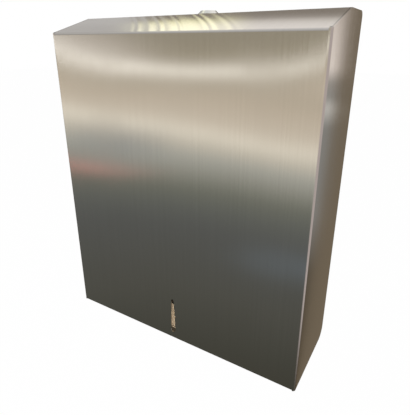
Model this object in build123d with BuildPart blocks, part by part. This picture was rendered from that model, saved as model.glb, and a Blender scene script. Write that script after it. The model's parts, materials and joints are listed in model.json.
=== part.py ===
"""Folded towel dispenser: a wall cabinet under a folded steel cover that tips forward.

Millimetres. X runs across the width, Y out of the front into the wall (the wall face is Y = 0)
and Z up from the bottom edge of the cover. The cover is drawn closed. The files have their
origin on the wall face in the middle of the four wall screws.
"""
import math
import os

from build123d import *

os.makedirs("parts", exist_ok=True)

# cover envelope
width = 300.0
depth = 100.0
front_height = 342.0
slope_rise = 17.0
total_height = front_height + slope_rise
top_flat = 44.5
wall_gap = 1.0
sheet = 1.0
bend = 2.8
back_corner = 6.0
seam = 0.4
hem = 14.0
hem_bend = 1.8

# pivot of the cover, at the centre of its rounded lower back corner
pivot_radius = 13.0
pivot_y = -(wall_gap + pivot_radius)
pivot_z = pivot_radius
tilt = 75.0

# sight slot in the front
slot_low_z = 12.3
slot_low_r = 3.3
slot_high_z = 53.3
slot_high_r = 1.65

# cabinet sheet work
plate = 1.2
plate_top = total_height - 7.0
plate_bottom = 3.0
cheek_gap = 2.0
cheek_front = depth - 3.0
cheek_top = total_height - 35.0
cheek_low = plate_bottom + 1.5
flange = 14.0
window_l = 86.0
window_w = 16.0
hole_x = width / 3
hole_z = (82.0, total_height - 57.0)
hole_r = 3.25
bead_x = width / 5
bead_l = hole_z[1] - hole_z[0] + 10.0

# tray
tray_z = 11.0
tray_side = 9.0
tray_lip = 12.0
outlet_w = width - 110.0
outlet_d = 38.0
outlet_y = -(depth / 2 - wall_gap)
outlet_drop = 4.5
slot_clear = 36.0

# hinge
stud_d = 6.0
hinge_play = 0.05
bush_od = 9.0
bush_flange_d = 14.0
bush_flange_t = 1.2
stop_r = 34.0
stop_from = 80.0
stop_play = 0.4

# lock, standing in the flat top
lock_y = -20.0
lock_head_d = 22.0
lock_head_h = 4.5
lock_bevel = 2.9
lock_body_d = 16.0
lock_body_drop = 15.0
plug_d = 11.0
plug_play = 0.06
cam_t = 1.6
cam_reach = 14.5
cam_tab = 6.4

# towels
towel_w = width - 60.0
towel_front = cheek_front - 2.9
towel_back = 4.8
towel_top = 46.0
towel_count = 22

# rivets
rivet_r = 1.6
rivet_head_r = 3.0
rivet_head_h = 0.9
tray_rivet_y = (-32.0, -(depth / 2 + 8.0), -(depth - 16.0))
tray_rivet_z = tray_z + tray_side - 4.0
back_rivet_x = tuple(width * share for share in (-0.35, -0.12, 0.12, 0.35))
back_rivet_z = tray_z + tray_lip - 4.5

inner_x = width / 2 - sheet
cheek_x = inner_x - cheek_gap
cheek_in = cheek_x - plate
top_x = width / 2 - sheet - seam
slope_angle = math.atan2(slope_rise, depth - top_flat)
cam_top_z = total_height - sheet - lock_body_drop - 0.5
cam_low_z = cam_top_z - cam_t
strike_floor = cam_low_z - cam_tab - 3.6
strike_rivet_x = (-4.0, 4.0)
strike_rivet_z = strike_floor - 13.0
origin_z = sum(hole_z) / 2
stop_y = pivot_y + stop_r * math.cos(math.radians(stop_from))
stop_z = pivot_z + stop_r * math.sin(math.radians(stop_from))
sides = (("left", -1), ("right", 1))


def inset(points, d):
    """Corner points of an open polyline moved sideways by d, to the right of its direction."""
    moved = []
    lines = []
    for (ax, ay), (bx, by) in zip(points, points[1:]):
        length = math.hypot(bx - ax, by - ay)
        nx, ny = (by - ay) / length * d, -(bx - ax) / length * d
        lines.append(((ax + nx, ay + ny), (bx + nx, by + ny)))
    moved.append(lines[0][0])
    for ((ax, ay), (bx, by)), ((cx, cy), (dx, dy)) in zip(lines, lines[1:]):
        ux, uy, vx, vy = bx - ax, by - ay, dx - cx, dy - cy
        s = ((cx - ax) * vy - (cy - ay) * vx) / (ux * vy - uy * vx)
        moved.append((ax + ux * s, ay + uy * s))
    moved.append(lines[-1][1])
    return moved


def save(body, name):
    """Write one piece, with the origin moved up to the centre of the wall screws."""
    placed = Pos(0, 0, -origin_z) * body
    placed.label = name
    export_step(placed, f"parts/{name}.step")


# side outline of the cover, Y against Z, from the front bottom corner over the top
front = (-depth, front_height)
ridge = (-(wall_gap + top_flat), total_height)
crest = (-wall_gap, total_height)
fold_low = front_height - bend * 1.2

# 1 the cover: front and sides in one channel, slope and flat top folded over between them
with BuildPart() as cover_shell:
    with BuildSketch(Plane.XY):
        with BuildLine():
            FilletPolyline(
                (-width / 2 + sheet / 2, -wall_gap),
                (-width / 2 + sheet / 2, -depth + sheet / 2),
                (width / 2 - sheet / 2, -depth + sheet / 2),
                (width / 2 - sheet / 2, -wall_gap),
                radius=bend - sheet / 2,
            )
        trace(line_width=sheet)
    extrude(amount=total_height)
    with BuildSketch(Plane.YZ) as side_outline:
        with BuildLine():
            Polyline((-depth, 0), front, ridge, (crest[0] - back_corner, crest[1]))
            RadiusArc(
                (crest[0] - back_corner, crest[1]), (crest[0], crest[1] - back_corner), back_corner
            )
            Line((crest[0], crest[1] - back_corner), (-wall_gap, pivot_z))
            RadiusArc((-wall_gap, pivot_z), (pivot_y, 0), pivot_radius)
            Line((pivot_y, 0), (-depth, 0))
        make_face()
    extrude(amount=width / 2, both=True, mode=Mode.INTERSECT)
    # the front panel gives way to the fold at its upper edge
    with BuildSketch(Plane.XZ.offset(depth + 1)):
        with Locations((0, fold_low)):
            Rectangle(2 * (width / 2 - bend), 40, align=(Align.CENTER, Align.MIN))
    extrude(amount=-(sheet + 3), mode=Mode.SUBTRACT)
    with BuildSketch(Plane.YZ):
        with BuildLine():
            mid = inset([(-depth, fold_low), front, ridge, crest], sheet / 2)
            FilletPolyline(*mid, radius=bend - sheet / 2)
        trace(line_width=sheet)
    extrude(amount=width / 2 - bend, both=True)
    # slope and top reach sideways to the open seams beside the bends of the sides
    with BuildSketch(Plane.YZ):
        with BuildLine():
            start = (
                -depth + bend * 1.1 * math.cos(slope_angle),
                front_height + bend * 1.1 * math.sin(slope_angle),
            )
            mid = inset([start, ridge, crest], sheet / 2)
            FilletPolyline(*mid, radius=bend - sheet / 2)
        trace(line_width=sheet)
    extrude(amount=top_x, both=True)
    # the front is returned inward along its bottom edge
    with BuildSketch(Plane.XZ.offset(depth + 1)):
        Rectangle(2 * (width / 2 - bend), 2 * hem_bend, align=Align.CENTER)
    extrude(amount=-(sheet + 3), mode=Mode.SUBTRACT)
    with BuildSketch(Plane.YZ):
        with BuildLine():
            FilletPolyline(
                (-depth + sheet / 2, hem_bend),
                (-depth + sheet / 2, sheet / 2),
                (-depth + hem, sheet / 2),
                radius=hem_bend - sheet / 2 - 0.01,
            )
        trace(line_width=sheet)
    extrude(amount=width / 2 - bend, both=True)
    # sight slot: a long drop, narrow above and round below, to judge the towels left
    with BuildSketch(Plane.XZ.offset(depth + 1)):
        with Locations((0, slot_low_z)):
            Circle(slot_low_r)
        with Locations((0, slot_high_z)):
            Circle(slot_high_r)
        make_hull()
    extrude(amount=-(sheet + 3), mode=Mode.SUBTRACT)
    # hole for the lock
    with BuildSketch(Plane.XY.offset(total_height - 5)):
        with Locations((0, lock_y)):
            Circle(lock_body_d / 2)
    extrude(amount=8, mode=Mode.SUBTRACT)

save(cover_shell.part, "cover_shell")

# 2 angle strips that tie the slope and the top to the sides behind the open seams
for side, s in sides:
    with BuildPart() as strip:
        start = (
            -depth + 9.0 * math.cos(slope_angle),
            front_height + 9.0 * math.sin(slope_angle),
        )
        with BuildSketch(Plane.YZ.offset(s * (inner_x - 10))):
            with BuildLine():
                mid = inset([start, ridge, (crest[0] - 8, crest[1])], sheet * 1.5)
                FilletPolyline(*mid, radius=bend - sheet * 1.5)
            trace(line_width=sheet)
        extrude(amount=s * 10)
        with BuildSketch(Plane.YZ.offset(s * (inner_x - sheet))):
            with BuildLine():
                above = inset([start, ridge, (crest[0] - 8, crest[1])], sheet)
                below = inset([start, ridge, (crest[0] - 8, crest[1])], sheet + 10)
                FilletPolyline(*above, radius=bend - sheet)
                Polyline(above[-1], *reversed(below), above[0])
            make_face()
        extrude(amount=s * sheet)
    save(strip.part, f"seam_angle_{side}")

# 3 hinge: a stud on each side of the cover turns in a flanged bush in the cheek
stud_reach = cheek_gap + plate + 4.6
groove_at = cheek_gap + plate + 2.4
clip_t = 0.8
for side, s in sides:
    with BuildPart() as stud:
        with BuildSketch(Plane.YZ.offset(s * inner_x)):
            with Locations((pivot_y, pivot_z)):
                Circle(5.0)
        extrude(amount=-s * 0.4)
        with BuildSketch(Plane.YZ.offset(s * inner_x)):
            with Locations((pivot_y, pivot_z)):
                Circle(stud_d / 2)
        extrude(amount=-s * (stud_reach))
        with BuildSketch(Plane.YZ.offset(s * (inner_x - groove_at))):
            with Locations((pivot_y, pivot_z)):
                Circle(stud_d / 2 + 1)
                Circle(stud_d / 2 - 0.8, mode=Mode.SUBTRACT)
        extrude(amount=-s * clip_t, mode=Mode.SUBTRACT)
        tip = stud.faces().sort_by(Axis.X)[0 if s > 0 else -1]
        chamfer(tip.edges(), 0.5)
    save(stud.part, f"hinge_stud_{side}")

    with BuildPart() as clip:
        with BuildSketch(Plane.YZ.offset(s * (inner_x - groove_at))):
            with Locations((pivot_y, pivot_z)):
                Circle(5.2)
                Circle(stud_d / 2 - 0.8, mode=Mode.SUBTRACT)
            with Locations((pivot_y, pivot_z - 4)):
                Rectangle(3.6, 8, mode=Mode.SUBTRACT)
            with Locations((pivot_y, pivot_z)):
                with PolarLocations(3.9, 2, start_angle=35, angular_range=110, endpoint=True):
                    Circle(0.7, mode=Mode.SUBTRACT)
        extrude(amount=-s * clip_t)
    save(clip.part, f"retaining_clip_{side}")

    with BuildPart() as bush:
        with BuildSketch(Plane.YZ.offset(s * cheek_x)):
            with Locations((pivot_y, pivot_z)):
                Circle(bush_flange_d / 2)
        extrude(amount=s * bush_flange_t)
        with BuildSketch(Plane.YZ.offset(s * cheek_x)):
            with Locations((pivot_y, pivot_z)):
                Circle(bush_od / 2)
        extrude(amount=-s * (plate + 0.9))
        with BuildSketch(Plane.YZ.offset(s * (cheek_x + 3))):
            with Locations((pivot_y, pivot_z)):
                Circle(stud_d / 2 + hinge_play)
        extrude(amount=-s * 12, mode=Mode.SUBTRACT)
    save(bush.part, f"hinge_bush_{side}")

    # stop stud: rides in the arc slot of the cheek and ends the tilt
    with BuildPart() as stop:
        with BuildSketch(Plane.YZ.offset(s * inner_x)):
            with Locations((stop_y, stop_z)):
                Circle(4.5)
        extrude(amount=-s * 0.4)
        with BuildSketch(Plane.YZ.offset(s * inner_x)):
            with Locations((stop_y, stop_z)):
                Circle(stud_d / 2)
        extrude(amount=-s * (cheek_gap + plate + 1.8))
        tip = stop.faces().sort_by(Axis.X)[0 if s > 0 else -1]
        chamfer(tip.edges(), 0.4)
    save(stop.part, f"stop_stud_{side}")

# 4 cheeks: the sides of the cabinet, each with a flange on the back plate
for side, s in sides:
    with BuildPart() as cheek:
        with BuildSketch(Plane.YZ.offset(s * cheek_in)):
            with BuildLine():
                FilletPolyline(
                    (-plate, cheek_low),
                    (-cheek_front + 12.0, cheek_low),
                    (-cheek_front, tray_z),
                    (-cheek_front, 78.0),
                    (-cheek_front / 2, cheek_top - 128.0),
                    (-cheek_front / 2, cheek_top),
                    (-plate, cheek_top),
                    radius=(8, 4, 16, 24, 14),
                )
                Line((-plate, cheek_top), (-plate, cheek_low))
            make_face()
        extrude(amount=s * plate)
        with BuildSketch(Plane.XY.offset(cheek_low)):
            with Locations((s * cheek_x, -plate)):
                Rectangle(
                    flange, plate,
                    align=(Align.MAX if s > 0 else Align.MIN, Align.MAX),
                )
        extrude(amount=cheek_top - cheek_low)
        # bush hole
        with BuildSketch(Plane.YZ.offset(s * (cheek_x + 1))):
            with Locations((pivot_y, pivot_z)):
                Circle(bush_od / 2)
        extrude(amount=-s * 4, mode=Mode.SUBTRACT)
        # rivet holes along the tray
        with BuildSketch(Plane.YZ.offset(s * (cheek_x + 1))):
            with Locations(*[(y, tray_rivet_z) for y in tray_rivet_y]):
                Circle(rivet_r)
        extrude(amount=-s * 4, mode=Mode.SUBTRACT)
        # arc slot for the stop stud, a little longer than the tilt
        with BuildSketch(Plane.YZ.offset(s * (cheek_x + 1))):
            arc = Edge.make_circle(
                stop_r, Plane((pivot_y, pivot_z, 0)), start_angle=stop_from, end_angle=stop_from + tilt
            )
            SlotArc(arc=arc, height=stud_d + 2 * stop_play)
        extrude(amount=-s * 4, mode=Mode.SUBTRACT)
        # lightening window above the towels in use, with rounded ends
        with BuildSketch(Plane.YZ.offset(s * (cheek_x + 1))):
            with Locations((-cheek_front / 4 - plate, cheek_top - window_l * 0.8)):
                SlotOverall(window_l, window_w, rotation=90)
        extrude(amount=-s * 4, mode=Mode.SUBTRACT)
    save(cheek.part, f"cheek_{side}")

# 5 back plate: four wall screw holes and two pressed beads
with BuildPart() as back_plate:
    with BuildSketch(Plane.XZ):
        with BuildLine():
            FilletPolyline(
                (-cheek_x, plate_bottom),
                (cheek_x, plate_bottom),
                (cheek_x, plate_top),
                (-cheek_x, plate_top),
                radius=5,
                close=True,
            )
        make_face()
    extrude(amount=plate)
    # stiffening beads: pushed forward, hollow on the wall side
    with BuildSketch(Plane.XZ.offset(plate)):
        with Locations((-bead_x, origin_z), (bead_x, origin_z)):
            SlotOverall(bead_l, 14, rotation=90)
    extrude(amount=1.8, taper=35)
    with BuildSketch(Plane.XZ):
        with Locations((-bead_x, origin_z), (bead_x, origin_z)):
            SlotOverall(bead_l - 2, 12, rotation=90)
    extrude(amount=1.8, taper=35, mode=Mode.SUBTRACT)
    # wall screw holes
    with BuildSketch(Plane.XZ.offset(-1)):
        with Locations(*[(x, z) for x in (-hole_x, hole_x) for z in hole_z]):
            Circle(hole_r)
        with Locations(*[(x, back_rivet_z) for x in back_rivet_x]):
            Circle(rivet_r)
        with Locations(*[(x, strike_rivet_z) for x in strike_rivet_x]):
            Circle(rivet_r)
    extrude(amount=4, mode=Mode.SUBTRACT)

save(back_plate.part, "back_plate")

# 6 towel tray: floor with a drawn outlet, low sides, back flange and a lip parted behind the slot
tray_back = plate
with BuildPart() as towel_tray:
    with BuildSketch(Plane.YZ):
        with BuildLine():
            FilletPolyline(
                (-tray_back - plate / 2, tray_z + tray_lip),
                (-tray_back - plate / 2, tray_z + plate / 2),
                (-cheek_front + plate / 2, tray_z + plate / 2),
                (-cheek_front + plate / 2, tray_z + tray_lip),
                radius=1.5,
            )
        trace(line_width=plate)
    extrude(amount=cheek_in - 4, both=True)
    with BuildSketch(Plane.XZ.offset(tray_back + 4)):
        with BuildLine():
            FilletPolyline(
                (-cheek_in + plate / 2, tray_z + tray_side),
                (-cheek_in + plate / 2, tray_z + plate / 2),
                (cheek_in - plate / 2, tray_z + plate / 2),
                (cheek_in - plate / 2, tray_z + tray_side),
                radius=2.2,
            )
        trace(line_width=plate)
    extrude(amount=cheek_front - tray_back - 8)
    # collar turned down round the outlet, so that no cut edge meets the towels
    with BuildSketch(Plane.XY.offset(tray_z - outlet_drop)):
        with Locations((0, outlet_y)):
            SlotOverall(outlet_w + 2 * plate, outlet_d + 2 * plate)
    extrude(amount=outlet_drop)
    with BuildSketch(Plane.XY.offset(tray_z - outlet_drop - 1)):
        with Locations((0, outlet_y)):
            SlotOverall(outlet_w, outlet_d)
    extrude(amount=outlet_drop + plate + 2, mode=Mode.SUBTRACT)
    mouth = towel_tray.edges().filter_by(
        lambda e: abs(e.center().Z - (tray_z + plate)) < 0.01
        and abs(e.center().X) < outlet_w / 2 + 1
        and abs(e.center().Y - outlet_y) < outlet_d / 2 + 1
    )
    fillet(mouth, 1.0)
    # the lip is parted behind the sight slot
    with BuildSketch(Plane.XZ.offset(cheek_front + 1)):
        with Locations((0, tray_z + plate)):
            Rectangle(slot_clear, tray_lip + 4, align=(Align.CENTER, Align.MIN))
    extrude(amount=-4, mode=Mode.SUBTRACT)

    # room for the flanges of the cheeks, and the rivet holes
    with BuildSketch(Plane.XY.offset(tray_z - 1)):
        for s in (-1, 1):
            with Locations((s * (cheek_x - flange - 0.5), 0)):
                Rectangle(
                    30, 2 * (2 * plate + 0.05), align=(Align.MIN if s > 0 else Align.MAX, Align.CENTER)
                )
            # the rear corners stay clear of the hinges
            with Locations((s * (cheek_in - 7.5), 0)):
                Rectangle(
                    30, 2 * (wall_gap + pivot_radius + 9), align=(Align.MIN if s > 0 else Align.MAX, Align.CENTER)
                )
    extrude(amount=tray_lip + 4, mode=Mode.SUBTRACT)
    with BuildSketch(Plane.XZ):
        with Locations(*[(x, back_rivet_z) for x in back_rivet_x]):
            Circle(rivet_r)
    extrude(amount=5, mode=Mode.SUBTRACT)
    with BuildSketch(Plane.YZ.offset(-width / 2)):
        with Locations(*[(y, tray_rivet_z) for y in tray_rivet_y]):
            Circle(rivet_r)
    extrude(amount=width, mode=Mode.SUBTRACT)

save(towel_tray.part, "towel_tray")

# 7 guides that keep the towels in the middle of the cabinet
guide_x = towel_w / 2 + 2.0
guide_t = 1.0
guide_front = depth - 30.0
guide_low = tray_z + tray_lip + 0.8
guide_high = total_height - 95.0
for side, s in sides:
    with BuildPart() as guide:
        with BuildSketch(Plane.XY.offset(guide_low)):
            with BuildLine():
                FilletPolyline(
                    (s * (guide_x + guide_t / 2), -guide_front),
                    (s * (guide_x + guide_t / 2), -plate - guide_t / 2),
                    (s * (guide_x + 10.5), -plate - guide_t / 2),
                    radius=2.0,
                )
            trace(line_width=guide_t)
        extrude(amount=guide_high - guide_low)
        with BuildSketch(Plane.YZ.offset(s * (guide_x - 2))):
            with BuildLine():
                Polyline(
                    (-guide_front - 5, guide_high - guide_front * 1.6),
                    (-guide_front / 2, guide_high + 5),
                    (-guide_front - 5, guide_high + 5),
                    close=True,
                )
            make_face()
        extrude(amount=s * 5, mode=Mode.SUBTRACT)
    save(guide.part, f"towel_guide_{side}")

# 8 strike: a bracket on the back plate, with the upright lip that the cam hooks behind
strike_w = 15.0
lip_y = lock_y + cam_reach - 6.0
with BuildPart() as strike:
    with BuildSketch(Plane.YZ):
        with BuildLine():
            FilletPolyline(
                (lip_y, cam_low_z - 1.5),
                (lip_y, strike_floor),
                (-plate - plate / 2, strike_floor),
                (-plate - plate / 2, strike_floor - 20),
                radius=1.8,
            )
        trace(line_width=plate)
    extrude(amount=strike_w / 2, both=True)
    with BuildSketch(Plane.XZ):
        with Locations(*[(x, strike_rivet_z) for x in strike_rivet_x]):
            Circle(rivet_r)
    extrude(amount=4, mode=Mode.SUBTRACT)

save(strike.part, "strike_bracket")

# 9 lock barrel: bevelled head on the flat top, threaded body through it
under_top = total_height - sheet
with BuildPart() as lock_barrel:
    with BuildSketch(Plane.XY.offset(total_height)):
        with Locations((0, lock_y)):
            Circle(lock_head_d / 2)
    extrude(amount=lock_head_h)
    head_edge = lock_barrel.faces().sort_by(Axis.Z)[-1].edges()
    chamfer(head_edge, lock_bevel)
    with BuildSketch(Plane.XY.offset(total_height)):
        with Locations((0, lock_y)):
            Circle(lock_body_d / 2)
    extrude(amount=-(sheet + lock_body_drop))
    # thread, drawn as rings of the real pitch
    with BuildSketch(Plane.YZ):
        with Locations(
            *[(lock_y + lock_body_d / 2, under_top - 6.5 - 1.5 * i) for i in range(5)]
        ):
            RegularPolygon(0.62, 3, rotation=180)
    revolve(axis=Axis((0, lock_y, 0), (0, 0, 1)), revolution_arc=360, mode=Mode.SUBTRACT)
    # bore of the plug: wide above, a step below that carries it
    with BuildSketch(Plane.XY.offset(total_height + lock_head_h + 1)):
        with Locations((0, lock_y)):
            Circle(plug_d / 2 + plug_play)
    extrude(amount=-(lock_head_h + 1 + sheet + lock_body_drop - 3.0), mode=Mode.SUBTRACT)
    with BuildSketch(Plane.XY.offset(total_height)):
        with Locations((0, lock_y)):
            Circle(4.0 + plug_play)
    extrude(amount=-(sheet + lock_body_drop + 2), mode=Mode.SUBTRACT)

save(lock_barrel.part, "lock_barrel")

# 10 nut and washer that clamp the barrel to the flat top
washer_t = 0.8
with BuildPart() as lock_washer:
    with BuildSketch(Plane.XY.offset(under_top)):
        with Locations((0, lock_y)):
            Circle(11.5)
            Circle(lock_body_d / 2, mode=Mode.SUBTRACT)
    extrude(amount=-washer_t)
    with BuildSketch(Plane.XY.offset(under_top)):
        with Locations((0, lock_y)):
            with PolarLocations(11.6, 12):
                Circle(0.7)
    extrude(amount=-washer_t, mode=Mode.SUBTRACT)

save(lock_washer.part, "lock_washer")

with BuildPart() as lock_nut:
    with BuildSketch(Plane.XY.offset(under_top - washer_t)):
        with Locations((0, lock_y)):
            RegularPolygon(21.0 / 2, 6, major_radius=False)
            Circle(lock_body_d / 2, mode=Mode.SUBTRACT)
    extrude(amount=-4.0)
    with BuildSketch(Plane.XY.offset(under_top - washer_t)):
        with Locations((0, lock_y)):
            Circle(11.6)
    extrude(amount=-4.0, mode=Mode.INTERSECT)

save(lock_nut.part, "lock_nut")

# 11 plug that the key turns, with the key slot in its face
key_w = 1.6
key_l = 7.6
plug_top = total_height + lock_head_h - 0.3
step_z = total_height - sheet - lock_body_drop + 3.0
with BuildPart() as lock_plug:
    with BuildSketch(Plane.XY.offset(step_z + 0.05)):
        with Locations((0, lock_y)):
            Circle(plug_d / 2)
    extrude(amount=plug_top - step_z - 0.05)
    chamfer(lock_plug.faces().sort_by(Axis.Z)[-1].edges(), 0.4)
    with BuildSketch(Plane.XY.offset(step_z + 0.05)):
        with Locations((0, lock_y)):
            Circle(4.0)
    extrude(amount=-(step_z + 0.05 - cam_top_z))
    # squared end that drives the cam
    with BuildSketch(Plane.XY.offset(cam_top_z)):
        with Locations((0, lock_y)):
            Rectangle(5.0, 5.0)
    extrude(amount=-cam_t)
    # key slot
    with BuildSketch(Plane.XY.offset(plug_top + 1)):
        with Locations((0, lock_y)):
            SlotOverall(key_l, key_w)
        with Locations((0, lock_y + 0.9)):
            Rectangle(1.6, 2.0)
    extrude(amount=-7.0, mode=Mode.SUBTRACT)
    # tapped hole of the cam screw
    with BuildSketch(Plane.XY.offset(cam_low_z)):
        with Locations((0, lock_y)):
            Circle(1.5)
    extrude(amount=8.0, mode=Mode.SUBTRACT)

save(lock_plug.part, "lock_plug")

# 12 cam: an arm with a turned-down tab, drawn in the unlocked place beside the strike
with BuildPart() as lock_cam:
    with BuildSketch(Plane.XY.offset(cam_low_z)):
        with Locations((0, lock_y)):
            Circle(7.5)
        with Locations((0, lock_y)):
            Rectangle(cam_reach, 10.0, align=(Align.MIN, Align.CENTER))
            Rectangle(5.0, 5.0, mode=Mode.SUBTRACT)
    extrude(amount=cam_t)
    with BuildSketch(Plane.XY.offset(cam_low_z)):
        with Locations((cam_reach - cam_t, lock_y)):
            Rectangle(cam_t, 10.0, align=(Align.MIN, Align.CENTER))
    extrude(amount=-cam_tab)
    bend_edge = lock_cam.edges().filter_by(Axis.Y).filter_by(
        lambda e: abs(e.center().X - cam_reach) < 0.01 and abs(e.center().Z - cam_top_z) < 0.01
    )
    fillet(bend_edge, 1.4)

save(lock_cam.part, "lock_cam")

with BuildPart() as cam_screw:
    with BuildSketch(Plane.XY.offset(cam_low_z)):
        with Locations((0, lock_y)):
            Circle(4.2)
    extrude(amount=-2.4)
    fillet(cam_screw.faces().sort_by(Axis.Z)[0].edges(), 0.9)
    with BuildSketch(Plane.XY.offset(cam_low_z)):
        with Locations((0, lock_y)):
            Circle(1.5)
    extrude(amount=7.0)
    with BuildSketch(Plane.XY.offset(cam_low_z - 2.4)):
        with Locations((0, lock_y)):
            Rectangle(4.2, 0.9)
            Rectangle(0.9, 4.2)
    extrude(amount=1.2, mode=Mode.SUBTRACT)

save(cam_screw.part, "cam_screw")

# 13 rivets: tray to cheeks with closed tails, tray and strike to the back plate with flush ends
with BuildPart() as tray_rivets:
    with BuildSketch(Plane.YZ.offset(cheek_x)):
        with Locations(*[(y, tray_rivet_z) for y in tray_rivet_y]):
            Circle(rivet_head_r)
    extrude(amount=rivet_head_h, taper=35)
    with BuildSketch(Plane.YZ.offset(cheek_x)):
        with Locations(*[(y, tray_rivet_z) for y in tray_rivet_y]):
            Circle(rivet_r)
    extrude(amount=-2 * plate)
    with BuildSketch(Plane.YZ.offset(cheek_x - 2 * plate)):
        with Locations(*[(y, tray_rivet_z) for y in tray_rivet_y]):
            Circle(rivet_r + 0.7)
    extrude(amount=-1.4, taper=15)

save(tray_rivets.part, "tray_rivets_right")
save(mirror(tray_rivets.part, about=Plane.YZ), "tray_rivets_left")

flush = 2 * plate - 0.1
for name, spots in (
    ("tray_back_rivets", [(x, back_rivet_z) for x in back_rivet_x]),
    ("strike_rivets", [(x, strike_rivet_z) for x in strike_rivet_x]),
):
    with BuildPart() as back_rivets:
        with BuildSketch(Plane.XZ.offset(2 * plate)):
            with Locations(*spots):
                Circle(rivet_head_r)
        extrude(amount=rivet_head_h, taper=35)
        with BuildSketch(Plane.XZ.offset(2 * plate)):
            with Locations(*spots):
                Circle(rivet_r)
        extrude(amount=-flush)
    save(back_rivets.part, name)

# 14 towels left in the store: folded sheets, each with a rounded fold at front and back
towel_low = tray_z + plate
pitch = (towel_top - towel_low) / towel_count
fold = 0.45 * pitch
with BuildPart() as towel_stack:
    with BuildSketch(Plane.YZ):
        with BuildLine():
            for i in range(towel_count):
                low = towel_low + i * pitch
                ThreePointArc(
                    (-towel_front, low), (-towel_front - fold, low + pitch / 2), (-towel_front, low + pitch)
                )
                ThreePointArc(
                    (-towel_back, low), (-towel_back + fold, low + pitch / 2), (-towel_back, low + pitch)
                )
            Line((-towel_front, towel_low), (-towel_back, towel_low))
            Line((-towel_front, towel_top), (-towel_back, towel_top))
        make_face()
    extrude(amount=towel_w / 2, both=True)

save(towel_stack.part, "towel_stack")
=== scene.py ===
# %% [markdown]
# # Dressing a folded towel dispenser
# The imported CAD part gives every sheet, stud and screw its true place. This lesson adds what CAD
# leaves out: the brushed grain of the steel, the creped paper and the light of a small studio.
# Lengths are in metres. +X is right, +Y goes into the wall and +Z is up.

# %% Tools and the frame
import json
import math
import random

import bmesh
import bpy
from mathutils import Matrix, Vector, noise


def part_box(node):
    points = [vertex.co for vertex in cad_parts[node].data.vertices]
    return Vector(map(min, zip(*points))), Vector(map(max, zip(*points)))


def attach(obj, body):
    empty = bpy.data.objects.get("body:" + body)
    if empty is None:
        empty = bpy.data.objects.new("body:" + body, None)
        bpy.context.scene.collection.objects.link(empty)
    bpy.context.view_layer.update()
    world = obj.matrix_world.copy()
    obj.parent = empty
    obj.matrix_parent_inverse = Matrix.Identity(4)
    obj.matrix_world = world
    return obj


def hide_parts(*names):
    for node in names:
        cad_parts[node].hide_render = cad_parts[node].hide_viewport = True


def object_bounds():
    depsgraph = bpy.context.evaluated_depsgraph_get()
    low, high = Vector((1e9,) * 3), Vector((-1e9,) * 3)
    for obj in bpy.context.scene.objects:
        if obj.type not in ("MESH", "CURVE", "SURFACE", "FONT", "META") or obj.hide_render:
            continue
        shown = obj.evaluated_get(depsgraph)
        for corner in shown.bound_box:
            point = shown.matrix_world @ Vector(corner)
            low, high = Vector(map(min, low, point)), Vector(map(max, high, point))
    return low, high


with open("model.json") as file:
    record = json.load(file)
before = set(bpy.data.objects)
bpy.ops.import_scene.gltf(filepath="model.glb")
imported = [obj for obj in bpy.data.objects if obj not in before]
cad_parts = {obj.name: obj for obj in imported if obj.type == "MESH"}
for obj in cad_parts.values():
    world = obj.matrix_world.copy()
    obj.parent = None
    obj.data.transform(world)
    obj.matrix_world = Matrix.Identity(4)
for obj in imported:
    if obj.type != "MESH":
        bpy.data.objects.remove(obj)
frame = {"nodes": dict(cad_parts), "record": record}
cad_low, cad_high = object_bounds()
nodes = frame["nodes"]
print("nodes", len(nodes), "box", [round(v, 4) for v in cad_high - cad_low])

# %% [markdown]
# ## Camera
# The outline of the cover in the photograph fixes where the camera stood: a little to the right,
# turned left by 31 degrees and looking down by 20. A camera placed by eye would spoil every later
# comparison, so it was solved first, from the outline, the ridge, the sight slot and the lock. The
# focal length is in pixels and is turned into millimetres on a 36 mm sensor. The optical axis lies
# above the middle of the picture, which a small vertical shift repeats.

# %% Camera from the outline
picture_h = 415
focal_px, axis_y_px = 387.17, 187.68
pitch, yaw = math.radians(20.326), math.radians(31.170)
camera_place = (0.22576, -0.40039, 0.13886)

camera = bpy.data.cameras.new("camera")
camera.sensor_width = 36.0
camera.lens = focal_px / picture_h * camera.sensor_width
camera.shift_y = (axis_y_px - picture_h / 2) / picture_h
camera_stand = bpy.data.objects.new("camera", camera)
camera_stand.location = camera_place
camera_stand.rotation_euler = (math.pi / 2 - pitch, 0, yaw)
bpy.context.collection.objects.link(camera_stand)
bpy.context.scene.camera = camera_stand
bpy.context.scene.view_settings.view_transform = "Standard"
print("lens", round(camera.lens, 2), "shift", round(camera.shift_y, 4))

# %% [markdown]
# ## Shader maths in plain expressions
# A finish could be wired by hand in the shader editor, but it is easier to read as arithmetic than
# as a web of nodes. `Wire` wraps one socket, so that `0.3 + 0.1 * grain` adds the Math nodes by
# itself. `Finish` makes every other node with one method that takes its type, its settings and
# what goes into its sockets.

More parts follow.
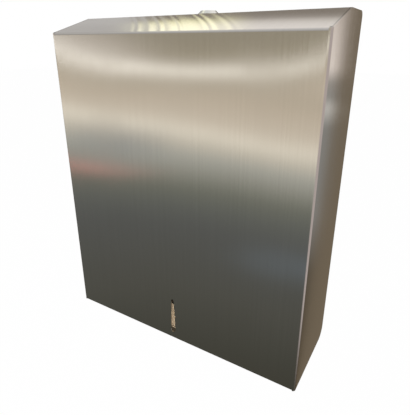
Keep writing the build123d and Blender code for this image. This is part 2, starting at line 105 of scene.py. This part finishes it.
# %% The wire
class Wire:
    """One output socket that can be used in arithmetic."""

    def __init__(self, finish, socket):
        self.finish, self.socket = finish, socket

    def maths(self, operation, *terms):
        """A Math node of the same tree, with each term in a socket of its own."""
        return self.finish.node("ShaderNodeMath", {"operation": operation}, dict(enumerate(terms)))

    def through(self, operation, *others):
        """A Math node with this wire as its first term, for a sine, an exponent or a limit."""
        return self.maths(operation, self, *others)

    def held(self, low, high):
        return self.through("MAXIMUM", low).through("MINIMUM", high)

    def between(self, start, end):
        """0 up to start and 1 from end on, softly. With start above end it falls instead."""
        ends = {"Value": self, "From Min": start, "From Max": end}
        return self.finish.node("ShaderNodeMapRange", {"interpolation_type": "SMOOTHSTEP"}, ends)

    def bell(self, middle, reach):
        """1 at the middle, and softly down to 0 at the reach on either side."""
        return 1 - abs(self - middle).between(0.0, reach)

    def __add__(self, other):
        return self.maths("ADD", self, other)

    def __sub__(self, other):
        return self.maths("SUBTRACT", self, other)

    def __rsub__(self, other):
        return self.maths("SUBTRACT", other, self)

    def __mul__(self, other):
        return self.maths("MULTIPLY", self, other)

    def __gt__(self, other):
        return self.maths("GREATER_THAN", self, other)

    def __abs__(self):
        return self.maths("ABSOLUTE", self)

    __radd__ = __add__
    __rmul__ = __mul__


# %% The finish
class Finish:
    """The node tree of a material or a world, with one method that adds nodes."""

    def __init__(self, owner):
        owner.use_nodes = True
        self.tree = owner.node_tree
        self.tree.nodes.clear()

    def node(self, kind, settings=None, sockets=None, output=0):
        made = self.tree.nodes.new(kind)
        for name, value in (settings or {}).items():
            if name == "stops":
                stops = made.color_ramp.elements
                while len(stops) < len(value):
                    stops.new(0.5)
                for stop, (place, colour) in zip(stops, value):
                    stop.position, stop.color = place, (*colour, 1)
            else:
                setattr(made, name, value)
        for name, value in (sockets or {}).items():
            if isinstance(value, Wire):
                self.tree.links.new(value.socket, made.inputs[name])
            else:
                made.inputs[name].default_value = value
        return Wire(self, made.outputs[output])

    def axes(self, coordinate):
        """A coordinate, ready for a texture's sockets, and then its X, Y and Z."""
        place = {"Vector": self.node("ShaderNodeTexCoord", output=coordinate)}
        parts = (self.node("ShaderNodeSeparateXYZ", sockets=place, output=axis) for axis in "XYZ")
        return place, *parts

    def drawn_noise(self, x, y, z, detail):
        """Noise that may change at another rate along each axis."""
        place = self.node("ShaderNodeCombineXYZ", sockets={"X": x, "Y": y, "Z": z})
        return self.node("ShaderNodeTexNoise", sockets={"Vector": place, "Scale": 1.0, "Detail": detail})

    def blend(self, share, first, second):
        """Mix two colours; share 0 gives the first."""
        colours = {0: share, 6: (*first, 1), 7: (*second, 1)}
        return self.node("ShaderNodeMix", {"data_type": "RGBA"}, colours, 2)

    def end(self, kind, surface):
        made = self.tree.nodes.new(kind)
        self.tree.links.new(surface.socket, made.inputs["Surface"])


def new_material(name):
    material = bpy.data.materials.new(name)
    return material, Finish(material)


# %% [markdown]
# ## Brushed sheet: the bow
# Folded sheet is never quite flat. It swells a little between two folds and turns a little before
# it reaches one, and a mirror shows that at once. The CAD solids stay flat, as the drawing of such
# a cover would be, so a bump in true metres bows them: it swells the slope, turns the sides beside
# the front fold and leaves slow waves everywhere. Part of the slope is rippled as well. The ripples
# rise from the front fold and lean over towards the ridge, and they break the light of the ceiling
# tube into a row of curved streaks. The cabinet's sheet takes the same bump, and its rougher finish
# hides it.

# %% The bow of the folded sheet
ridge_y = -0.0455
slope_depth = ridge_y - cad_low.y
slope_swell = 0.0012
fold_reach, fold_turn = 0.036, 0.10
waves_per_m, wave_height = 6.0, 0.0007
ripple_lean, ripple_bend = 0.037, 0.012
ripple_middle, ripple_reach = 0.018, 0.064
ripple_turn, ripple_height = 500, 0.00012
stray_per_m, stray_turn = 60, 7


def rippled(finish, x, back):
    """Upright ripples on one part of the slope; back runs from 0 at the fold to 1 at the ridge."""
    arc = x + back * ripple_lean + back * back * ripple_bend
    stray = finish.drawn_noise(arc * stray_per_m, 3.0, 0.0, 0.0)
    inside = ((1 - abs((arc - ripple_middle) * (1 / ripple_reach))) * 2.5).held(0.0, 1.0)
    return (arc * ripple_turn + stray * stray_turn).through("SINE") * inside


def bowed_normal(finish, place, x, y, on_side, on_top):
    from_front = y - cad_low.y
    back = from_front * (1 / slope_depth)
    swell = (back * math.pi).through("SINE") * on_top * slope_swell
    ripple = rippled(finish, x, back) * on_top * ripple_height
    turned = (from_front * (-1 / fold_reach)).through("EXPONENT") * on_side
    wave = finish.node("ShaderNodeTexNoise", sockets={**place, "Scale": waves_per_m, "Detail": 1.0})
    return finish.node("ShaderNodeBump", sockets={
        "Strength": 1.0, "Distance": 1.0,
        "Height": swell + ripple + wave * wave_height - turned * (fold_turn * fold_reach),
    })


print("slope", round(slope_depth, 4), "m deep, swells by", slope_swell, "m")

# %% [markdown]
# ## Brushed sheet: the grain
# The cover is rolled stainless sheet that an abrasive belt has drawn over in one direction, so its
# grain runs upright over the front and the sides and on over the slope and the top. A picture of
# scratches would need an unfolding of the sheet, and noise needs none: it changes fast across the
# belt and hardly along it. On the front that is across X and on the sides across Y, which the
# surface's own normal decides. The grain drives a second bump on top of the bow, which spreads
# reflections sideways as real grain does, and a little colour and roughness. Slow noise adds the
# hand marks of a washroom.

# %% The brushed finish
scratch_rates, streak_rates = (2600, 7), (420, 3)
hand_scale, hand_starts, hand_full = 17.0, 0.45, 0.8
grain_depth = 0.0002
side_from, top_from = 0.7, 0.8


def brushed_sheet(name, light, dark, shine, grain, marks):
    material, finish = new_material(name)
    place, x, y, z = finish.axes("Object")
    _, facing_x, _, facing_z = finish.axes("Normal")
    on_side, on_top = abs(facing_x) > side_from, facing_z > top_from
    across = x + (y - x) * on_side
    along = z + y * (1 - on_side)
    scratch = finish.drawn_noise(across * scratch_rates[0], along * scratch_rates[1], on_side * 9, 5.0)
    streak = finish.drawn_noise(across * streak_rates[0], along * streak_rates[1], 4.0, 3.0)
    blot = finish.node("ShaderNodeTexNoise", sockets={**place, "Scale": hand_scale, "Detail": 2.0})
    hand = blot.between(hand_starts, hand_full)
    tone = scratch * 0.5 + streak * 0.35 + 0.08 - hand * (0.25 * marks)
    bump = finish.node("ShaderNodeBump", sockets={
        "Strength": grain, "Distance": grain_depth, "Height": scratch + streak * 0.3,
        "Normal": bowed_normal(finish, place, x, y, on_side, on_top),
    })
    shader = finish.node("ShaderNodeBsdfPrincipled", sockets={
        "Base Color": finish.blend(tone, dark, light), "Metallic": 1.0,
        "Roughness": shine + scratch * 0.05 + hand * (0.06 * marks), "Normal": bump,
    })
    finish.end("ShaderNodeOutputMaterial", shader)
    return material


cover_steel = brushed_sheet(
    "brushed sheet", (0.70, 0.685, 0.66), (0.565, 0.55, 0.525), shine=0.075, grain=0.14, marks=0.35
)
cabinet_steel = brushed_sheet(
    "cabinet sheet", (0.56, 0.56, 0.555), (0.44, 0.44, 0.435), shine=0.30, grain=0.10, marks=0.8
)
print("brushed sheet takes", len(cover_steel.node_tree.nodes), "nodes")

# %% [markdown]
# ## Small parts
# Plated studs and screws are brighter than the sheet and have no belt grain, only the fine mottle
# of the plating. The lock head is polished, its core is dull brass, and nylon is milky and takes no
# metal shine. Each could have a finish of its own, but they differ only in numbers, so one function
# gives them all: a mottled colour, an uneven roughness and a slight bump.

# %% Plated, polished and moulded finishes
mottle_depth = 0.0001


def mottled(name, light, dark, metal, shine, scale, relief):
    material, finish = new_material(name)
    place, *_ = finish.axes("Object")
    mottle = finish.node("ShaderNodeTexNoise", sockets={**place, "Scale": scale, "Detail": 6.0})
    cells = finish.node("ShaderNodeTexVoronoi", sockets={**place, "Scale": scale * 2.5})
    bump = finish.node(
        "ShaderNodeBump", sockets={"Strength": relief, "Distance": mottle_depth, "Height": mottle}
    )
    shader = finish.node("ShaderNodeBsdfPrincipled", sockets={
        "Base Color": finish.blend(mottle * 0.8 + cells * 0.2, dark, light),
        "Metallic": metal, "Roughness": shine + mottle * 0.12, "Normal": bump,
    })
    finish.end("ShaderNodeOutputMaterial", shader)
    return material


lock_chrome = mottled("lock chrome", (0.74, 0.76, 0.74), (0.60, 0.62, 0.60), 1.0, 0.12, 700.0, 0.12)
lock_brass = mottled("lock core", (0.72, 0.66, 0.52), (0.54, 0.49, 0.38), 1.0, 0.24, 900.0, 0.2)
zinc = mottled("zinc steel", (0.66, 0.68, 0.70), (0.48, 0.50, 0.52), 1.0, 0.3, 1200.0, 0.3)
rivet_metal = mottled(
    "rivet aluminium", (0.76, 0.76, 0.77), (0.62, 0.62, 0.63), 1.0, 0.34, 1500.0, 0.3
)
nylon = mottled("nylon", (0.84, 0.83, 0.79), (0.74, 0.73, 0.68), 0.0, 0.42, 400.0, 0.15)
print("small finishes", [m.name for m in (lock_chrome, lock_brass, zinc, rivet_metal, nylon)])

# %% [markdown]
# ## Creped paper
# Unbleached towel paper is tan with darker fibres, and creping leaves fine ridges across it. Ridges
# in the mesh would take millions of faces, so they are a stretched noise in the bump. The fibres
# are the thin dark band of a second noise, and a third one clouds the colour.

# %% The paper finish
ridge_rates, fibre_rates = (1500, 260, 900), (240, 700, 700)
cloud_scale = 60.0
fibre_width = 0.05
crepe_depth = 0.0003
paper_dark, paper_light = (0.50, 0.38, 0.25), (0.70, 0.57, 0.41)


def creped_paper():
    material, finish = new_material("kraft paper")
    place, *along = finish.axes("Object")
    crepe = finish.drawn_noise(*(axis * rate for axis, rate in zip(along, ridge_rates)), 4.0)
    fibre = finish.drawn_noise(*(axis * rate for axis, rate in zip(along, fibre_rates)), 8.0)
    thread = finish.node("ShaderNodeMapRange", sockets={
        "Value": abs(fibre - 0.5), "From Min": 0.0, "From Max": fibre_width,
    })
    cloud = finish.node("ShaderNodeTexNoise", sockets={**place, "Scale": cloud_scale, "Detail": 3.0})
    bump = finish.node("ShaderNodeBump", sockets={
        "Strength": 0.5, "Distance": crepe_depth, "Height": crepe + fibre * 0.4,
    })
    tone = thread * 0.25 + crepe * 0.35 + cloud * 0.4
    shader = finish.node("ShaderNodeBsdfPrincipled", sockets={
        "Base Color": finish.blend(tone, paper_dark, paper_light),
        "Roughness": 0.86 + crepe * 0.1, "Normal": bump,
    })
    finish.end("ShaderNodeOutputMaterial", shader)
    return material


kraft = creped_paper()
print("paper takes", len(kraft.node_tree.nodes), "nodes")

# %% [markdown]
# ## A finish for every piece
# The finishes could be given piece by piece, but the record already says which slot each CAD node
# takes, so they are handed out from it and no piece can be forgotten.

# %% Hand out the finishes
slot_finish = {
    "brushed_sheet": cover_steel,
    "cabinet_sheet": cabinet_steel,
    "lock_chrome": lock_chrome,
    "lock_core": lock_brass,
    "zinc_steel": zinc,
    "nylon": nylon,
    "rivet_aluminium": rivet_metal,
    "kraft_paper": kraft,
}
for part in frame["record"]["subparts"]:
    piece = nodes[part["node"]]
    piece.data.materials.clear()
    piece.data.materials.append(slot_finish[part["material_slot"]])
print("finishes", sorted(slot_finish))

# %% [markdown]
# ## Towels
# The CAD pile is one solid with a rounded fold for each towel at the front and the back. Seen close
# it has no leaves and no gaps between them, so here each towel is modelled as a sheet. Its two long
# edges are turned in over its middle, so from the side it looks like a flat C. One profile is drawn
# with the operators: a point is drawn out along the bottom, spun through half a turn at the fold,
# drawn back, and the same on the other side. The profile is drawn out sideways into a sheet and
# given the thickness of paper. Each towel has its own small sag and slip, because no pile is ever
# quite straight, and the whole pile is pressed down a little by its own weight.

# %% The profile of a folded towel
store_low, store_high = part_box("towel_stack")
towel_count, pressed = 22, 0.93
pitch_z = (store_high.z - store_low.z) / towel_count * pressed
paper = 0.00022
folded_thick = pitch_z * 0.96 - paper
fold_steps, edge_share = 6, 0.96


def folded_profile(sheet, reach_front, reach_back):
    """Half of the sheet each way from the middle of the bottom leaf to its edge on top."""
    radius = folded_thick / 2
    middle = (reach_front + reach_back) / 2
    for far, turn in ((reach_front + radius, -1), (reach_back - radius, 1)):
        last = bmesh.ops.create_vert(sheet, co=(0, middle, 0))["vert"][0]
        for share in (0.5, 1.0):
            last = bmesh.ops.extrude_vert_indiv(sheet, verts=[last])["verts"][0]
            last.co.y = middle + (far - middle) * share
        spun = bmesh.ops.spin(
            sheet, geom=[last], cent=(0, far, radius), axis=(1, 0, 0), angle=turn * math.pi,
            steps=fold_steps, use_merge=False, dvec=(0, 0, 0), use_duplicate=False,
        )
        last = [v for v in spun["geom_last"] if isinstance(v, bmesh.types.BMVert)][0]
        for share in (0.5, edge_share):
            last = bmesh.ops.extrude_vert_indiv(sheet, verts=[last])["verts"][0]
            last.co.y = far + (middle - far) * share
    bmesh.ops.remove_doubles(sheet, verts=sheet.verts, dist=1e-6)


print("towels lie", round(pitch_z * 1000, 2), "mm apart")

# %% One towel of the pile
edge_gap = 0.0004
slip_front, slip_back = 0.0004, 0.0010
slack_y, slack_z = 0.00035, 0.00008
slack_rates_y, slack_rate_z = (22, 30), 60
side_x = (store_high.x - store_low.x) / 2 - edge_gap
width_steps = 24


def towel(pile, low_z, seed):
    """Draw one towel out across the width, in steps that can sag, and add it to the pile."""
    sheet = bmesh.new()
    chance = random.Random(seed)
    front = store_low.y + edge_gap + chance.random() * slip_front
    folded_profile(sheet, front, store_high.y - edge_gap - chance.random() * slip_back)
    bmesh.ops.translate(sheet, verts=sheet.verts, vec=(-side_x, 0, low_z + paper / 2))
    edge = list(sheet.edges)
    for _ in range(width_steps):
        drawn = bmesh.ops.extrude_edge_only(sheet, edges=edge)["geom"]
        moved = {v for v in drawn if isinstance(v, bmesh.types.BMVert)}
        edge = [e for e in drawn if isinstance(e, bmesh.types.BMEdge) and moved.issuperset(e.verts)]
        bmesh.ops.translate(sheet, verts=list(moved), vec=(2 * side_x / width_steps, 0, 0))
    for v in sheet.verts:
        v.co.y += slack_y * noise.noise(
            Vector((v.co.x * slack_rates_y[0], v.co.y * slack_rates_y[1], seed * 7.3))
        )
        v.co.z += slack_z * noise.noise(
            Vector((v.co.x * slack_rate_z, v.co.y * slack_rate_z, seed * 3.1))
        )
    bmesh.ops.recalc_face_normals(sheet, faces=sheet.faces)
    bmesh.ops.solidify(sheet, geom=sheet.faces, thickness=paper)
    mesh = bpy.data.meshes.new("one towel")
    sheet.to_mesh(mesh)
    sheet.free()
    pile.from_mesh(mesh)
    bpy.data.meshes.remove(mesh)


print("each towel is", round(2 * side_x, 4), "m wide")

# %% The pile
floor_gap = 0.00006
pile_bm = bmesh.new()
for number in range(towel_count):
    towel(pile_bm, store_low.z + number * pitch_z + floor_gap, number + 1)
pile_mesh = bpy.data.meshes.new("towel pile")
pile_bm.to_mesh(pile_mesh)
pile_bm.free()
pile_mesh.shade_smooth()
pile_mesh.materials.append(kraft)
towel_pile = bpy.data.objects.new("towel_pile", pile_mesh)
bpy.context.collection.objects.link(towel_pile)
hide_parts("towel_stack")
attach(towel_pile, "cabinet")
print("towels", towel_count, "faces", len(pile_mesh.polygons))

# %% [markdown]
# ## Studio
# Brushed steel shows little but what stands round it. The room could be built of real boards and
# lamps, but each board would also light the rest and could stand in the picture. So the room is a
# pattern over the direction of a ray, which only mirrored rays meet. A ramp over the height gives the
# tones from a dark floor up to bright windows, its rows bend a little with the sideways direction,
# and soft bell-shaped patches stand for single boards and lamps. For every other ray the world is
# an even pale grey, and the camera sees white.

# %% Tools for the room
world = bpy.data.worlds.new("studio")
bpy.context.scene.world = world
room = Finish(world)
_, sideways, away, upward = room.axes("Generated")
height = upward * 0.5 + 0.5


def room_tones(place, *stops):
    return room.node("ShaderNodeValToRGB", {"stops": stops}, {"Fac": place})


def room_mix(share, first, second, blend="MIX"):
    """Blend two colours of the room; a plain colour may stand in for either."""
    first, second = ((*c, 1) if isinstance(c, tuple) else c for c in (first, second))
    settings = {"data_type": "RGBA", "blend_type": blend}
    return room.node("ShaderNodeMix", settings, {0: share, 6: first, 7: second}, 2)


# %% The room in front
off_middle = (sideways + 0.5).held(-0.3, 0.3)
bent = off_middle * off_middle
upper = height.between(0.425, 0.455)
row = height + off_middle * 0.1 * (1 - upper) - bent * bent * (upper * 2.8 + 1.0)
front_room = room_tones(
    row,
    (0.0, (0.03, 0.03, 0.025)), (0.13, (0.065, 0.06, 0.045)), (0.175, (0.085, 0.085, 0.07)),
    (0.215, (0.115, 0.115, 0.10)), (0.28, (0.135, 0.14, 0.135)), (0.305, (0.17, 0.18, 0.165)),
    (0.325, (0.22, 0.23, 0.19)), (0.345, (0.42, 0.42, 0.37)), (0.362, (0.56, 0.57, 0.52)),
    (0.377, (0.80, 0.74, 0.62)), (0.391, (1.16, 1.08, 0.93)), (0.41, (0.84, 0.74, 0.61)),
    (0.44, (0.74, 0.64, 0.51)), (0.459, (0.58, 0.52, 0.41)), (0.4715, (1.6, 1.52, 1.38)),
    (0.4795, (0.57, 0.52, 0.42)), (0.487, (0.43, 0.38, 0.28)), (0.52, (0.42, 0.38, 0.30)),
    (0.62, (0.50, 0.48, 0.46)), (1.0, (0.80, 0.80, 0.80)),
)
grey_board = sideways.bell(-0.67, 0.13) * row.bell(0.367, 0.03) * 0.7
front_room = room_mix(grey_board, front_room, (0.36, 0.38, 0.385))
to_left = sideways.between(-0.56, -0.76)
to_right = sideways.between(-0.42, -0.28)
for side, middle, reach, glow in (
    (to_left, 0.333, 0.009, (0.50, 0.10, 0.09)),
    (to_left, 0.488, 0.035, (0.34, 0.32, 0.34)),
    (to_right, 0.262, 0.022, (0.04, 0.06, 0.085)),
):
    front_room = room_mix(side * row.bell(middle, reach), front_room, glow, "ADD")
print("front room, nodes so far", len(world.node_tree.nodes))

# %% The room at the right, behind and overhead
fold_tones = room_tones(
    height,
    (0.14, (0.07, 0.052, 0.03)), (0.24, (0.125, 0.105, 0.08)), (0.30, (0.30, 0.29, 0.275)),
    (0.405, (0.31, 0.305, 0.29)), (0.428, (0.72, 0.70, 0.66)), (0.441, (0.36, 0.35, 0.33)),
    (0.458, (0.42, 0.39, 0.36)), (0.474, (1.0, 0.90, 0.83)), (0.54, (0.80, 0.71, 0.65)),
    (0.62, (0.5, 0.46, 0.43)),
)
side_room = room_mix(sideways.between(0.22, 0.38), (0.195, 0.155, 0.108), fold_tones)
ceiling = room_tones(
    height - off_middle * 0.13,
    (0.67, (0.27, 0.235, 0.20)), (0.71, (0.40, 0.36, 0.32)), (0.745, (0.74, 0.69, 0.64)),
    (0.775, (0.96, 0.91, 0.87)), (0.81, (1.12, 1.06, 1.02)),
)
ceiling = room_mix(sideways.between(-0.58, -0.68), ceiling, (0.57, 0.55, 0.535))
back_room = room_mix(height.between(0.57, 0.63), side_room, ceiling)
tube_light = sideways.bell(-0.55, 0.15) * height.between(0.66, 0.72)
back_room = room_mix(tube_light, back_room, (0.62, 0.62, 0.30), "ADD")
print("back room, nodes so far", len(world.node_tree.nodes))

# %% The whole room
mirrored = room_mix(away.between(-0.25, 0.35), front_room, back_room)
right_board = sideways.between(0.5, 0.8) * height.between(0.12, 0.2)
mirrored = room_mix(right_board, mirrored, (0.62, 0.54, 0.52))
is_glossy = room.node("ShaderNodeLightPath", output="Is Glossy Ray")
is_camera = room.node("ShaderNodeLightPath", output="Is Camera Ray")
shown = room_mix(is_glossy, (0.75, 0.75, 0.75), mirrored)
shown = room_mix(is_camera, shown, (1.0, 1.0, 1.0))
backdrop = room.node("ShaderNodeBackground", sockets={"Color": shown, "Strength": 1.0})
room.end("ShaderNodeOutputWorld", backdrop)
print("whole room, nodes", len(world.node_tree.nodes))

# %% [markdown]
# ## Floor
# The dispenser hangs with no wall behind it, almost half a metre above a pale floor that sends some
# light up into the outlet. A floor of one plain colour would show against the white background, so
# the camera sees nearly white from it too. The steel mirrors the room and not the floor.

# %% The floor
floor_drop, floor_half = 0.45, 12.0
floor_bm = bmesh.new()
bmesh.ops.create_grid(floor_bm, x_segments=1, y_segments=1, size=floor_half)
bmesh.ops.translate(floor_bm, verts=floor_bm.verts, vec=(0, 0, cad_low.z - floor_drop))
floor_mesh = bpy.data.meshes.new("floor")
floor_bm.to_mesh(floor_mesh)
floor_bm.free()
floor_material, floor_finish = new_material("pale floor")
seen = floor_finish.node("ShaderNodeLightPath", output="Is Camera Ray") * 0.98
pale = floor_finish.node("ShaderNodeBsdfDiffuse", sockets={"Color": (0.82, 0.82, 0.82, 1)})
white = floor_finish.node("ShaderNodeEmission", sockets={"Color": (1, 1, 1, 1), "Strength": 1.0})
floor_finish.end(
    "ShaderNodeOutputMaterial",
    floor_finish.node("ShaderNodeMixShader", sockets={0: seen, 1: pale, 2: white}),
)
floor_mesh.materials.append(floor_material)
floor = bpy.data.objects.new("floor", floor_mesh)
floor.visible_glossy = False
bpy.context.collection.objects.link(floor)
print("floor at", round(cad_low.z - floor_drop, 3))


# %% [markdown]
# ## Lamps
# A large soft lamp from the upper left front models the edges. A smaller one stands about level
# with the sight slot on the camera's side, because light that comes from anywhere else is cut off
# by the edges of the slot and leaves the paper in it black. Neither is seen in the steel, which has
# the room to mirror.

# %% Two soft lamps
def soft_lamp(name, place, target, size, power, colour):
    lamp = bpy.data.lights.new(name, "AREA")
    lamp.shape, lamp.size, lamp.size_y = "RECTANGLE", size[0], size[1]
    lamp.energy, lamp.color = power, colour
    stand = bpy.data.objects.new(name, lamp)
    stand.location = place
    stand.rotation_euler = (Vector(target) - Vector(place)).to_track_quat("-Z", "Y").to_euler()
    stand.visible_camera = False
    stand.visible_glossy = False
    bpy.context.collection.objects.link(stand)
    print(name, power, "W")


soft_lamp("front lamp", (-1.2, -1.8, 1.4), (0, 0, 0), (1.6, 1.2), 26.0, (1.0, 0.97, 0.93))
soft_lamp("slot lamp", (1.02, -1.46, -0.30), (0, -0.1, -0.16), (0.25, 0.25), 21.0, (1.0, 0.98, 0.95))
